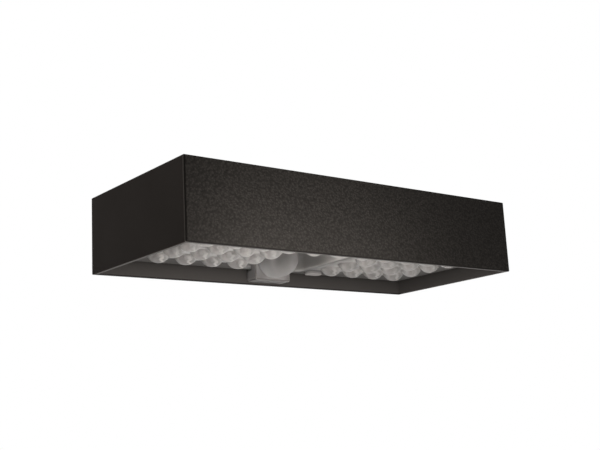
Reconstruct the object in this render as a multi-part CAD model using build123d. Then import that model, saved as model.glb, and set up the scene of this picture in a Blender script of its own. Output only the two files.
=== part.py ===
"""Solar wall light: an open-bottomed box with a solar panel on top and a domed lens plate below.

The origin is the middle of the wall bracket, on the wall. X runs to the right as seen from the
front, Y runs into the wall and Z is up. Distances called "out" are measured from the wall towards
the room, and heights are measured from the bottom rim until everything is placed at the end.
"""

import os

from build123d import *

# Body
body_width = 250.0
body_depth = 108.0
wall = 2.5
electronics_room = 23.8
corner_radius = 0.8
rim_radius = 0.5

# Solar panel in the top bay
panel_gap = 0.4
panel_drop = 0.5
panel_corner = 1.0
panel_edge = 0.25
glass_thickness = 2.2
ribbon_thickness = 0.15
ribbon_width = 1.6
ribbon_count = 3
cell_thickness = 0.25
cell_count = 12
cell_border = 5.0
cell_space = 1.2
backsheet_thickness = 1.2
gasket_thickness = 0.8
gasket_width = 5.0
deck_thickness = 2.5

# Light tray that closes the body from below
recess_depth = 9.8
tray_thickness = 2.2
tray_gap = 0.3
seal_thickness = 1.0
seal_width = 2.0
ledge_width = 2.6
ledge_thickness = 2.0
tongue_width = 14.0
tongue_thickness = 1.6
tongue_grip = 1.2
tongue_spacing = 150.0
tongue_gap = 0.2

# Lens plate: a grid of domes between the margins, open in the middle for the sensor
lens_rear_out = 18.5
lens_front_margin = 17.5
lens_side_margin = 20.5
dome_pitch_x = 19.0
dome_pitch_y = 18.0
dome_diameter = 14.6
dome_height = 5.2
dome_clear = 0.3
front_rows = 1
lens_corner = 2.0
lens_gap = 0.2
lens_thickness = 2.2
lens_rim = 2.0
flange_thickness = 1.6
flange_side = 9.0
flange_end = 3.0
lens_seal_thickness = 0.8
lens_seal_width = 1.6
lens_seal_inset = 0.5

# Sensor bay moulded into the lens plate
bay_width = 50.0
bay_front_inset = 1.5
bay_rear_out = 5.4
bay_wall = 2.0
bay_head_room = 1.4
bay_corner = 8.0
bay_rim_radius = 1.5

# Motion sensor, facing the room
sensor_width = 28.0
sensor_height = 27.8
sensor_axis_height = 15.4
sensor_face_out = 12.8
sensor_corner = 1.5
sensor_wall = 1.2
sensor_edge = 0.6
sensor_dome_radius = 12.2
sensor_dome_out = 21.2
sensor_dome_wall = 0.9
sensor_back_thickness = 1.0
sensor_board_thickness = 1.2
sensor_board_drop = 2.2
sensor_fit = 0.2
sensor_skirt_gap = 0.4
sensor_screw_inset = 3.4
sensor_boss_radius = 2.0
sensor_screw_tip = 0.5
pyro_radius = 4.2
pyro_brim_radius = 4.7
pyro_brim_thickness = 0.6
pyro_length = 4.2
pyro_edge = 0.5

# Light board
led_board_thickness = 1.2
led_length = 3.5
led_width = 2.8
led_height = 0.8
led_edge = 0.2
led_screw_offset = 5.7
led_screw_rows = 3
led_screw_pitch = 26.0
led_boss_radius = 2.3
led_boss_gap = 0.3

# Mode button and its switch
button_bay_gap = 2.5
button_length = 13.0
button_width = 7.0
button_drop = 1.8
button_gap = 0.3
button_lip = 1.0
button_lip_thickness = 1.0
button_stem_radius = 2.0
button_rounding = 0.8
button_travel = 0.8
plunger_radius = 1.6
plunger_edge = 0.4
plunger_gap = 0.25
plunger_length = 1.8
switch_size = 6.0
switch_edge = 0.5
switch_height = 3.4
switch_clear = 1.1
switch_board_width = 8.0
switch_board_thickness = 1.2
switch_board_end = 4.0
switch_board_start = 1.0
switch_post_radius = 2.0
switch_post_first = 12.0
switch_post_pitch = 10.0
switch_screw_tip = 0.5

# Wall bracket and the recess that hides it
bracket_length = 180.0
bracket_strip = 14.0
bracket_thickness = 1.5
bracket_corner = 3.0
bracket_hole_radius = 2.5
bracket_hole_spacing = 100.0
bracket_sink = 0.7
bracket_skin_gap = 0.5
bracket_side_gap = 0.6
bracket_top_gap = 1.0
skin = 2.0
lift_travel = 6.0
lift_gap = 0.5
hook_spacing = 130.0
hook_width = 14.0
hook_drop = 2.0
hook_lip = 4.25
hook_clear = 0.5
hook_bend = 1.0
hook_seat_gap = 0.2
hook_side_gap = 0.7
hook_window_rise = 6.5

# Battery and its holder
battery_gap = 5.0
battery_radius = 9.15
battery_length = 65.0
battery_edge = 0.8
battery_nub_radius = 3.0
battery_nub_length = 0.8
holder_base = 2.0
holder_width = 20.0
holder_end = 3.0
holder_drop = 18.0
holder_slack = 0.15
clip_wall = 1.5
clip_length = 8.0
clip_spacing = 24.0
clip_reach = 5.0
contact_thickness = 0.4
contact_width = 8.0
contact_height = 12.0
contact_pad = 3.0
contact_room = 2.5
contact_touch = 0.05
holder_screw_x = 18.0
holder_screw_y = 7.6

# Control board and what hangs below it
board_bay_gap = 10.0
board_length = 70.0
board_width = 50.0
board_thickness = 1.6
board_corner = 1.5
board_standoff = 6.0
board_standoff_radius = 3.0
board_screw_inset = 4.0
plug_length = 7.0
plug_width = 8.0
plug_height = 5.0
plug_inset = 2.0
plug_pitch = 9.0
plug_wire_drop = 2.5
charge_chip_size = 6.2
charge_chip_height = 1.5
charge_chip_x = 8.0
charge_chip_y = 14.0
control_chip_size = 10.0
control_chip_height = 1.6
control_chip_x = -9.0
control_chip_y = -4.0
coil_radius = 4.0
coil_height = 4.5
coil_edge = 0.8
coil_x = 9.0
coil_y = 1.0
capacitor_radius = 4.0
capacitor_height = 10.0
capacitor_edge = 0.5
capacitor_x = 12.0
capacitor_y = -13.0

# Leads
lead_radius = 1.0
lead_bend = 2.6
corner_bend = 5.0
lead_deck_drop = 3.4
lead_bay_gap = 5.5
lead_hole_gap = 0.5
sensor_lead_radius = 0.55
sensor_lead_x = 5.0

# Screws
large_screw_radius = 1.4
large_head_radius = 2.7
large_head_height = 2.0
small_screw_radius = 0.95
small_head_radius = 1.9
small_head_height = 1.0
screw_slack = 0.3
pilot_slack = 0.05
tray_screw_inset = 9.6
tray_screw_spacing = 90.0
tray_screw_count = 3
tray_screw_length = 10.0
tray_boss_radius = 3.2
tray_rib = 2.0
board_screw_length = 6.0
led_screw_length = 4.6
holder_screw_length = 3.8
pilot_floor = 0.25


def fitting(room, pitch):
    """How many whole copies fit in a row."""
    return int(room / pitch + 0.01)


# Heights worked out from the sizes above
tray_top = recess_depth + tray_thickness
ledge_low = tray_top + seal_thickness
lens_top = recess_depth + lens_thickness
flange_low = tray_top + lens_seal_thickness
flange_top = flange_low + flange_thickness
led_board_top = flange_top + led_board_thickness
deck_low = led_board_top + electronics_room
deck_top = deck_low + deck_thickness
backsheet_low = deck_top + gasket_thickness
cells_low = backsheet_low + backsheet_thickness
ribbons_low = cells_low + cell_thickness
glass_low = ribbons_low + ribbon_thickness
glass_top = glass_low + glass_thickness
body_height = glass_top + panel_drop
sensor_top = sensor_axis_height + sensor_height / 2
bay_ceiling = sensor_top + bay_head_room
bay_top = bay_ceiling + bay_wall
board_low = deck_low - board_standoff - board_thickness
wire_height = board_low - plug_wire_drop
lead_over = deck_low - lead_deck_drop
battery_axis = deck_low - holder_base - holder_slack - battery_radius
bracket_height = ledge_low + skin + lift_gap + lift_travel + bracket_strip / 2
hook_tab = bracket_height - hook_drop
button_lip_low = tray_top + button_gap
button_stem_low = button_lip_low + button_lip_thickness
button_stem_top = button_stem_low + switch_clear
switch_low = button_stem_top + button_travel + plunger_gap
switch_board_low = switch_low + switch_height
switch_board_top = switch_board_low + switch_board_thickness

# Plan sizes worked out from the sizes above
centre_y = -body_depth / 2
inner_width = body_width - 2 * wall
inner_depth = body_depth - 2 * wall
dome_columns = fitting(body_width - 2 * lens_side_margin, dome_pitch_x)
dome_rows = fitting(body_depth - lens_rear_out - lens_front_margin, dome_pitch_y)
lens_width = dome_columns * dome_pitch_x
lens_depth = dome_rows * dome_pitch_y
lens_y = -lens_rear_out - lens_depth / 2
bay_rows = dome_rows - front_rows
bay_outer = bay_width + 2 * bay_wall
bay_front_out = lens_rear_out + bay_rows * dome_pitch_y - bay_front_inset + bay_wall
sensor_rear_out = bay_rear_out + bay_wall
sensor_back_out = sensor_rear_out + sensor_back_thickness
sensor_board_out = sensor_back_out + sensor_board_thickness
sensor_lead_out = sensor_back_out + sensor_board_thickness / 2
recess_out = bracket_thickness + bracket_skin_gap
skin_out = recess_out + skin
button_x = bay_outer / 2 + button_bay_gap + button_length / 2
button_y = -(wall + ledge_width + lens_rear_out - flange_end) / 2
switch_lead_x = button_x + switch_post_first + switch_post_pitch / 2
holder_length = battery_length + 2 * contact_room + 2 * holder_end
battery_x = -bay_outer / 2 - battery_gap - holder_length / 2
board_x = bay_outer / 2 + board_bay_gap + board_length / 2
plug_left = bay_outer / 2 + board_bay_gap + plug_inset
plug_rear = centre_y + board_width / 2 - plug_inset
lead_x = bay_outer / 2 + lead_bay_gap
large_screw = (large_screw_radius, large_head_radius, large_head_height)
small_screw = (small_screw_radius, small_head_radius, small_head_height)
large_pilot = large_screw_radius + pilot_slack
small_pilot = small_screw_radius + pilot_slack
large_hole = large_screw_radius + screw_slack
small_hole = small_screw_radius + screw_slack


def panel(width, depth, radius=0.0, x=0.0, y=0.0):
    """Flat rectangle, with rounded corners where a radius is given."""
    outline = RectangleRounded(width, depth, radius) if radius else Rectangle(width, depth)
    return Pos(x, y) * outline


def prism(outline, low, high):
    """Block that stands over a flat outline, between two heights."""
    return extrude(Pos(0, 0, low) * outline, amount=high - low)


def slab(outline, near, far):
    """Block with an outline seen from the front, between two distances out from the wall."""
    return extrude(Plane.XZ.offset(near) * outline, amount=far - near)


def post(radius, x, y, low, high):
    """Upright round post."""
    return prism(Pos(x, y) * Circle(radius), low, high)


def screw(sizes, length):
    """Screw with a bevelled head, its seat at the origin, its shank up and its head down."""
    shank, head, head_height = sizes
    bevel = head_height / 3
    outline = Polyline(
        (0, -head_height),
        (head - bevel, -head_height),
        (head, -head_height + bevel),
        (head, 0),
        (shank, 0),
        (shank, length),
        (0, length),
        close=True,
    )
    return revolve(Plane.XZ * make_face(outline), Axis.Z)


def group(solids):
    """Several separate solids that share one node."""
    return Compound([solid for piece in solids for solid in piece.solids()])


def tube(points, radius, bend):
    """Round lead along straight runs joined by arcs."""
    path = FilletPolyline(*points, radius=bend)
    return sweep(Plane(origin=path @ 0, z_dir=path % 0) * Circle(radius), path=path)


def line_of(count, pitch):
    """Evenly spaced places about zero."""
    return [(index - (count - 1) / 2) * pitch for index in range(count)]


def dome_places():
    """Centres of the lens domes from the rear row on, leaving out those that the sensor bay takes."""
    rows = [lens_y - y for y in line_of(dome_rows, dome_pitch_y)]
    reach = bay_outer / 2 + dome_diameter / 2 + dome_clear
    return [
        (x, y)
        for row, y in enumerate(rows)
        for x in line_of(dome_columns, dome_pitch_x)
        if row >= bay_rows or abs(x) > reach
    ]


def tray_screw_places():
    """Screws along the front margin of the tray."""
    y = tray_screw_inset - body_depth
    return [(x, y) for x in line_of(tray_screw_count, tray_screw_spacing)]


def led_screw_places():
    """Screws in the two end margins of the light board."""
    half = lens_width / 2 + led_screw_offset
    rows = line_of(led_screw_rows, led_screw_pitch)
    return [(side * half, lens_y + y) for side in (-1, 1) for y in rows]


def board_screw_places():
    """Screws in the corners of the control board."""
    half_x = board_length / 2 - board_screw_inset
    half_y = board_width / 2 - board_screw_inset
    return [(board_x + i * half_x, centre_y + j * half_y) for i in (-1, 1) for j in (-1, 1)]


def holder_screw_places():
    """Screws beside the battery, on opposite sides."""
    return [(battery_x + side * holder_screw_x, centre_y + side * holder_screw_y) for side in (-1, 1)]


def switch_post_places():
    """Posts that carry the switch board, to the right of the button."""
    first = button_x + switch_post_first
    return [(first + step * switch_post_pitch, button_y) for step in range(2)]


def sensor_screw_places():
    """Screws in the upper corners of the sensor, as seen from the front."""
    x = sensor_width / 2 - sensor_screw_inset
    return [(side * x, sensor_top - sensor_screw_inset) for side in (-1, 1)]


def bracket_recess():
    """Shallow pocket for the bracket, tall enough for the lift, and the skin behind it."""
    low = bracket_height - bracket_strip / 2 - lift_travel - lift_gap
    high = bracket_height + bracket_strip / 2 + bracket_top_gap
    width = bracket_length + 2 * bracket_side_gap
    middle = Pos(0, (low + high) / 2)
    pocket = middle * RectangleRounded(width, high - low, bracket_corner)
    backing = middle * Rectangle(width + 2 * skin, high - low + 2 * skin)
    return slab(pocket, 0, recess_out), slab(backing, wall / 2, skin_out)


def hook_slots():
    """Windows in the skin for the hooks, open below each hook for the lift."""
    high = hook_tab + bracket_thickness / 2 + hook_seat_gap
    low = hook_tab - bracket_thickness / 2 - lift_travel - lift_gap
    slot = Pos(0, (low + high) / 2) * Rectangle(hook_width + 2 * hook_side_gap, high - low)
    return [slab(Pos(x, 0) * slot, 0, skin_out) for x in line_of(2, hook_spacing)]


def make_housing():
    """One-piece moulded body: walls, panel deck, tray ledge, bosses and the bracket recess."""
    body = prism(panel(body_width, body_depth, corner_radius, y=centre_y), 0, body_height)
    rims = body.edges().group_by(Axis.Z)
    body = fillet(list(rims[0]) + list(rims[-1]), rim_radius)
    inside = panel(inner_width, inner_depth, y=centre_y)
    body -= prism(inside, 0, deck_low)
    body -= prism(panel(inner_width, inner_depth, panel_corner, y=centre_y), deck_top, body_height)
    ledge = inside - panel(inner_width - 2 * ledge_width, inner_depth - 2 * ledge_width, y=centre_y)
    body += prism(ledge, ledge_low, ledge_low + ledge_thickness)

    pocket, backing = bracket_recess()
    body += backing
    body -= pocket
    body -= hook_slots()

    deck_middle = deck_low + deck_thickness / 2
    for x, y in tray_screw_places():
        rib_depth = tray_screw_inset - wall / 2
        rib = panel(tray_rib, rib_depth, x=x, y=y - rib_depth / 2)
        body += post(tray_boss_radius, x, y, ledge_low, deck_middle)
        body += prism(rib, ledge_low, deck_middle)
        body -= post(large_pilot, x, y, ledge_low, recess_depth + tray_screw_length + pilot_floor)
    for x, y in board_screw_places():
        standoff_low = deck_low - board_standoff
        body += post(board_standoff_radius, x, y, standoff_low, deck_middle)
        body -= post(large_pilot, x, y, standoff_low, board_low + board_screw_length + pilot_floor)
    for x, y in holder_screw_places():
        tip = deck_low - holder_base + holder_screw_length
        body -= post(small_pilot, x, y, deck_low, tip + pilot_floor)
    body -= post(lead_radius + lead_hole_gap, lead_x, plug_rows()["solar"], deck_low, deck_top)

    slot_thickness = tongue_thickness + 2 * tongue_gap
    slot_height = recess_depth + tray_thickness / 2
    tongue_slot = Pos(0, slot_height) * Rectangle(tongue_width + 2 * tongue_gap, slot_thickness)
    for x in line_of(2, tongue_spacing):
        body -= slab(Pos(x, 0) * tongue_slot, wall - tongue_grip - tongue_gap, wall)
    return body


def make_wall_bracket():
    """Pressed steel strip with two countersunk holes and two hooks cut out of it and bent up."""
    strip = RectangleRounded(bracket_length, bracket_strip, bracket_corner)
    bracket = slab(Pos(0, bracket_height) * strip, 0, bracket_thickness)
    window_low = hook_tab - bracket_thickness / 2
    window = Pos(0, window_low + hook_window_rise / 2)
    window = window * Rectangle(hook_width + 2 * hook_side_gap, hook_window_rise)
    lip_out = skin_out + hook_clear + bracket_thickness / 2
    foot = bracket_height - bracket_strip / 2 + bracket_thickness
    plate_out = bracket_thickness / 2
    centre_line = FilletPolyline(
        (-plate_out, foot),
        (-plate_out, hook_tab),
        (-lip_out, hook_tab),
        (-lip_out, hook_tab + bracket_thickness / 2 + hook_lip),
        radius=hook_bend,
    )
    hook = extrude(Plane.YZ * trace(centre_line, bracket_thickness), amount=hook_width / 2, both=True)
    for x in line_of(2, hook_spacing):
        bracket -= slab(Pos(x, 0) * window, 0, bracket_thickness)
        bracket += Pos(x, 0, 0) * hook
    sink = Cone(bracket_hole_radius, bracket_hole_radius + bracket_sink, bracket_sink)
    sink_out = bracket_thickness - bracket_sink / 2
    for x in line_of(2, bracket_hole_spacing):
        hole = Pos(x, bracket_height) * Circle(bracket_hole_radius)
        bracket -= slab(hole, 0, bracket_thickness)
        bracket -= Pos(x, -sink_out, bracket_height) * Rot(90, 0, 0) * sink
    return bracket


def panel_outline(shrink=0.0):
    """Outline of the solar panel, drawn in all round by the given amount."""
    width = inner_width - 2 * panel_gap - 2 * shrink
    depth = inner_depth - 2 * panel_gap - 2 * shrink
    return panel(width, depth, panel_corner, y=centre_y)


def make_solar_panel():
    """Gasket, backsheet, cells, ribbons and cover glass, stacked in the top bay."""
    gasket = prism(panel_outline() - panel_outline(gasket_width), deck_top, backsheet_low)
    backsheet = prism(panel_outline(), backsheet_low, cells_low)
    field_width = inner_width - 2 * panel_gap - 2 * cell_border
    field_depth = inner_depth - 2 * panel_gap - 2 * cell_border
    cell_pitch = (field_width + cell_space) / cell_count
    cell = panel(cell_pitch - cell_space, field_depth, y=centre_y)
    cells = [prism(Pos(x, 0) * cell, cells_low, ribbons_low) for x in line_of(cell_count, cell_pitch)]
    ribbons = [
        prism(panel(field_width, ribbon_width, y=centre_y + y), ribbons_low, glass_low)
        for y in line_of(ribbon_count, field_depth / ribbon_count)
    ]
    glass = prism(panel_outline(), glass_low, glass_top)
    glass = chamfer(glass.edges().group_by(Axis.Z)[-1], panel_edge)
    return {
        "panel_gasket": gasket,
        "panel_backsheet": backsheet,
        "solar_cells": group(cells),
        "cell_ribbons": group(ribbons),
        "panel_glass": glass,
    }


def bay_outline(grow):
    """Outline of the sensor bay's outer wall, grown all round by the given amount."""
    depth = bay_front_out - bay_rear_out
    middle = -(bay_front_out + bay_rear_out) / 2
    return panel(bay_outer + 2 * grow, depth + 2 * grow, bay_corner, y=middle)


def button_outline(grow):
    """Round-ended outline of the mode button, grown all round by the given amount."""
    return Pos(button_x, button_y) * SlotOverall(button_length + 2 * grow, button_width + 2 * grow)


def make_light_tray():
    """Bezel plate round the lens, with tongues behind, screw pads in front and posts on top."""
    width = inner_width - 2 * tray_gap
    depth = inner_depth - 2 * tray_gap
    tray = prism(panel(width, depth, y=centre_y), recess_depth, tray_top)
    tray -= prism(panel(lens_width, lens_depth, lens_corner, y=lens_y), recess_depth, tray_top)
    tray -= prism(bay_outline(lens_gap), recess_depth, tray_top)
    tray -= prism(button_outline(button_gap), recess_depth, tray_top)
    tongue = Pos(0, recess_depth + tray_thickness / 2) * Rectangle(tongue_width, tongue_thickness)
    for x in line_of(2, tongue_spacing):
        tray += slab(Pos(x, 0) * tongue, wall - tongue_grip, wall + 2 * tray_gap)
    for x, y in tray_screw_places():
        tray += post(tray_boss_radius, x, y, tray_top, ledge_low)
        tray -= post(large_hole, x, y, recess_depth, ledge_low)
    for x, y in led_screw_places():
        tray += post(led_boss_radius, x, y, tray_top, flange_top)
        tray -= post(small_pilot, x, y, led_board_top - led_screw_length - pilot_floor, flange_top)
    for x, y in switch_post_places():
        tray += post(switch_post_radius, x, y, tray_top, switch_board_low)
        tray -= post(small_pilot, x, y, tray_top, switch_board_low)
    return tray


def make_tray_seal():
    """Flat rubber ring between the tray and the ledge in the body."""
    width = inner_width - 2 * tray_gap
    depth = inner_depth - 2 * tray_gap
    hole = panel(width - 2 * seal_width, depth - 2 * seal_width, y=centre_y)
    return prism(panel(width, depth, y=centre_y) - hole, tray_top, ledge_low)


def make_tray_screws():
    """Screws that hold the front of the tray to the body."""
    fastener = Pos(0, 0, recess_depth) * screw(large_screw, tray_screw_length)
    return group(Pos(x, y, 0) * fastener for x, y in tray_screw_places())


def flange_outline():
    """Outline shared by the lens plate's flange and the light board on it."""
    return panel(lens_width + 2 * flange_side, lens_depth + 2 * flange_end, lens_corner, y=lens_y)


def dome():
    """Part of a ball that stands out below the lens plate."""
    half = dome_diameter / 2
    ball_radius = (half**2 + dome_height**2) / (2 * dome_height)
    ball = Pos(0, 0, recess_depth - dome_height + ball_radius) * Sphere(ball_radius)
    below = Rectangle(2 * dome_diameter, 2 * dome_diameter)
    return ball & prism(below, recess_depth - 2 * dome_height, recess_depth)


def make_lens_plate():
    """Moulded lens: a dish with domes below, a flange above and the walls of the sensor bay."""
    face = panel(lens_width - 2 * lens_gap, lens_depth - 2 * lens_gap, lens_corner, y=lens_y)
    dish = panel(lens_width - 2 * lens_rim, lens_depth - 2 * lens_rim, lens_corner, y=lens_y)
    lens = prism(face, recess_depth, flange_low)
    lens += prism(flange_outline(), flange_low, flange_top)
    lens -= prism(dish, lens_top, flange_top)
    for x, y in led_screw_places():
        lens -= post(led_boss_radius + led_boss_gap, x, y, flange_low, flange_top)
    lens += prism(bay_outline(0), recess_depth, bay_top)
    lens -= prism(bay_outline(-bay_wall), recess_depth, bay_ceiling)
    underside = lens.faces().filter_by(Axis.Z).group_by(Axis.Z)[0]
    rim = [edge for face in underside for wire in face.inner_wires() for edge in wire.edges()]
    lens = fillet(rim, bay_rim_radius)
    cap = dome()
    lens += [Pos(x, y, 0) * cap for x, y in dome_places()]

    for x, z in sensor_screw_places():
        lens -= slab(Pos(x, z) * Circle(small_hole), bay_rear_out, sensor_rear_out)
    lead_hole = sensor_lead_radius + screw_slack
    lens -= post(lead_hole, sensor_lead_x, -sensor_lead_out, bay_ceiling, bay_top)
    return lens


def make_lens_seal():
    """Flat seal under the lens flange, open where the sensor bay stands."""
    inner_grow = 2 * lens_seal_inset
    outer_grow = 2 * (lens_seal_inset + lens_seal_width)
    ring = panel(lens_width + outer_grow, lens_depth + outer_grow, lens_corner, y=lens_y)
    ring -= panel(lens_width + inner_grow, lens_depth + inner_grow, lens_corner, y=lens_y)
    return prism(ring - bay_outline(lens_gap), tray_top, flange_low)


def make_light_board():
    """White circuit board on the lens flange, one light under each dome, and its screws."""
    board = prism(flange_outline() - bay_outline(lens_gap), flange_top, led_board_top)
    for x, y in led_screw_places():
        board -= post(small_hole, x, y, flange_top, led_board_top)
    light = prism(Rectangle(led_length, led_width), flange_top - led_height, flange_top)
    light = chamfer(light.edges().group_by(Axis.Z)[0], led_edge)
    lights = group(Pos(x, y, 0) * light for x, y in dome_places())
    fastener = Pos(0, 0, led_board_top) * Rot(180, 0, 0) * screw(small_screw, led_screw_length)
    screws = group(Pos(x, y, 0) * fastener for x, y in led_screw_places())
    return {"led_board": board, "leds": lights, "led_board_screws": screws}


def make_sensor_skirt():
    """Open box that carries the lower part of the sensor's base back to the rear wall."""
    low = sensor_axis_height - sensor_height / 2
    high = recess_depth - sensor_skirt_gap
    middle = Pos(0, (low + high) / 2)
    outer = middle * RectangleRounded(sensor_width, high - low, sensor_corner)
    hollow_width = sensor_width - 2 * sensor_wall
    inner = middle * RectangleRounded(hollow_width, high - low - 2 * sensor_wall, sensor_corner / 2)
    return slab(outer - inner, wall + sensor_skirt_gap, sensor_rear_out)


def make_sensor_cap():
    """Milky cap: a dome on a short drum, on a square base that is open behind."""
    middle = Pos(0, sensor_axis_height)
    base = middle * RectangleRounded(sensor_width, sensor_height, sensor_corner)
    hollow_width = sensor_width - 2 * sensor_wall
    hollow_height = sensor_height - 2 * sensor_wall
    hollow = middle * RectangleRounded(hollow_width, hollow_height, sensor_corner / 2)
    inner_radius = sensor_dome_radius - sensor_dome_wall
    centre = Pos(0, -sensor_dome_out, sensor_axis_height)
    face_inside = sensor_face_out - sensor_wall
    cap = slab(base, sensor_rear_out, sensor_face_out)
    cap = fillet(cap.edges().group_by(Axis.Y)[0], sensor_edge)
    cap += slab(middle * Circle(sensor_dome_radius), sensor_face_out, sensor_dome_out)
    cap += centre * Sphere(sensor_dome_radius)
    cap -= slab(hollow, sensor_rear_out, face_inside)
    cap -= slab(middle * Circle(inner_radius), sensor_rear_out, sensor_dome_out)
    cap -= centre * Sphere(inner_radius)
    cap += make_sensor_skirt()
    for x, z in sensor_screw_places():
        cap += slab(Pos(x, z) * Circle(sensor_boss_radius), sensor_board_out, face_inside)
        cap -= slab(Pos(x, z) * Circle(small_pilot), sensor_board_out, face_inside)
    lead_hole = sensor_lead_radius + screw_slack
    cap -= post(lead_hole, sensor_lead_x, -sensor_lead_out, sensor_top - 2 * sensor_wall, sensor_top)
    return cap


def sensor_plate_size():
    """Width and height of the plates inside the sensor's base."""
    shrink = 2 * sensor_wall + 2 * sensor_fit
    return sensor_width - shrink, sensor_height - shrink


def make_sensor():
    """Sensor cap with its back plate, board, detector and screws."""
    middle = Pos(0, sensor_axis_height)
    width, height = sensor_plate_size()
    card = Pos(0, -sensor_board_drop / 2) * middle * Rectangle(width, height - sensor_board_drop)
    back = slab(middle * RectangleRounded(width, height, sensor_corner / 2), sensor_rear_out, sensor_back_out)
    board = slab(card, sensor_back_out, sensor_board_out)
    length = sensor_face_out - sensor_wall - bay_rear_out - sensor_screw_tip
    fastener = Rot(90, 0, 0) * screw(small_screw, length)
    for x, z in sensor_screw_places():
        back -= slab(Pos(x, z) * Circle(small_hole), sensor_rear_out, sensor_back_out)
        board -= slab(Pos(x, z) * Circle(small_hole), sensor_back_out, sensor_board_out)
    can = slab(middle * Circle(pyro_brim_radius), sensor_board_out, sensor_board_out + pyro_brim_thickness)
    can += slab(middle * Circle(pyro_radius), sensor_board_out, sensor_board_out + pyro_length)
    can = chamfer(can.edges().group_by(Axis.Y)[0], pyro_edge)
    return {
        "sensor_cap": make_sensor_cap(),
        "sensor_back": back,
        "sensor_board": board,
        "pyro_sensor": can,
        "sensor_screws": group(Pos(x, -bay_rear_out, z) * fastener for x, z in sensor_screw_places()),
    }


def make_mode_button():
    """Soft button in the tray's rear margin, and the plunger of the switch that it presses."""
    button = prism(button_outline(0), recess_depth - button_drop, button_lip_low)
    button = fillet(button.edges().group_by(Axis.Z)[0], button_rounding)
    button += prism(button_outline(button_lip), button_lip_low, button_stem_low)
    button += post(button_stem_radius, button_x, button_y, button_stem_low, button_stem_top)
    plunger = post(plunger_radius, button_x, button_y, button_stem_top, switch_low + plunger_length)
    plunger = chamfer(plunger.edges().group_by(Axis.Z)[-1], plunger_edge)
    return {"mode_button": button, "switch_plunger": plunger}


def make_switch():
    """Tact switch hung under a small board that stands on the tray's posts."""
    case = panel(switch_size, switch_size, switch_edge, button_x, button_y)
    body = prism(case, switch_low, switch_board_low)
    well_top = switch_low + plunger_length + button_travel + plunger_gap
    body -= post(plunger_radius + plunger_gap, button_x, button_y, switch_low, well_top)
    left = button_x - switch_size / 2 - switch_board_start
    right = switch_post_places()[-1][0] + switch_board_end
    outline = panel(right - left, switch_board_width, x=(left + right) / 2, y=button_y)
    board = prism(outline, switch_board_low, switch_board_top)
    length = switch_board_top - tray_top - switch_screw_tip
    fastener = Pos(0, 0, switch_board_top) * Rot(180, 0, 0) * screw(small_screw, length)
    for x, y in switch_post_places():
        board -= post(small_hole, x, y, switch_board_low, switch_board_top)
    screws = group(Pos(x, y, 0) * fastener for x, y in switch_post_places())
    return {"tact_switch": body, "switch_board": board, "switch_board_screws": screws}


def battery_clip():
    """Open ring that snaps round the cell, cut flat where it joins the holder's base."""
    inner = battery_radius + holder_slack
    loop = Circle(inner + clip_wall) - Circle(inner)
    block = Rectangle(4 * inner, 2 * inner)
    mouth = Pos(0, -clip_reach - inner) * block
    above = Pos(0, 2 * inner + holder_base / 2) * block
    return extrude(Plane.YZ * (loop - mouth - above), amount=clip_length / 2, both=True)


def battery_contact():
    """Folded metal leaf that stands on an end wall and presses on the cell."""
    near = contact_thickness / 2
    far = contact_room - contact_touch - near
    leaf = FilletPolyline(
        (near, contact_height / 2),
        (near, -contact_height / 2),
        (far, -contact_pad / 2),
        (far, contact_pad / 2),
        radius=contact_thickness,
    )
    return extrude(Plane.XZ * trace(leaf, contact_thickness), amount=contact_width / 2, both=True)


def make_battery():
    """Cylindrical cell in a clip-in holder under the deck, with spring contacts at both ends."""
    base_low = deck_low - holder_base
    holder = prism(panel(holder_length, holder_width, x=battery_x, y=centre_y), base_low, deck_low)
    end_x = (holder_length - holder_end) / 2
    for side in (-1, 1):
        end = panel(holder_end, holder_width, x=battery_x + side * end_x, y=centre_y)
        holder += prism(end, base_low - holder_drop, base_low)
    clip = battery_clip()
    for x in line_of(2, clip_spacing):
        holder += Pos(battery_x + x, centre_y, battery_axis) * clip
    for x, y in holder_screw_places():
        holder -= post(small_hole, x, y, base_low, deck_low)
    fastener = Pos(0, 0, base_low) * screw(small_screw, holder_screw_length)

    can_length = battery_length - battery_nub_length
    cell = Pos(-battery_nub_length / 2, 0, 0) * Rot(0, 90, 0) * Cylinder(battery_radius, can_length)
    cell = chamfer(cell.edges().filter_by(GeomType.CIRCLE), battery_edge)
    nub = Rot(0, 90, 0) * Cylinder(battery_nub_radius, battery_nub_length)
    cell += Pos(can_length / 2, 0, 0) * nub
    inner_end = battery_length / 2 + contact_room
    leaf = battery_contact()
    middle = Pos(battery_x, centre_y, battery_axis)
    contacts = [middle * Rot(0, 0, turn) * Pos(-inner_end, 0, 0) * leaf for turn in (0, 180)]
    return {
        "battery_holder": holder,
        "battery_cell": middle * cell,
        "battery_contacts": group(contacts),
        "battery_holder_screws": group(Pos(x, y, 0) * fastener for x, y in holder_screw_places()),
    }


def plug_rows():
    """Where each lead meets the left edge of the control board."""
    names = ("led", "battery", "solar", "sensor")
    return {name: centre_y + y for name, y in zip(names, line_of(len(names), plug_pitch))}


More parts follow.
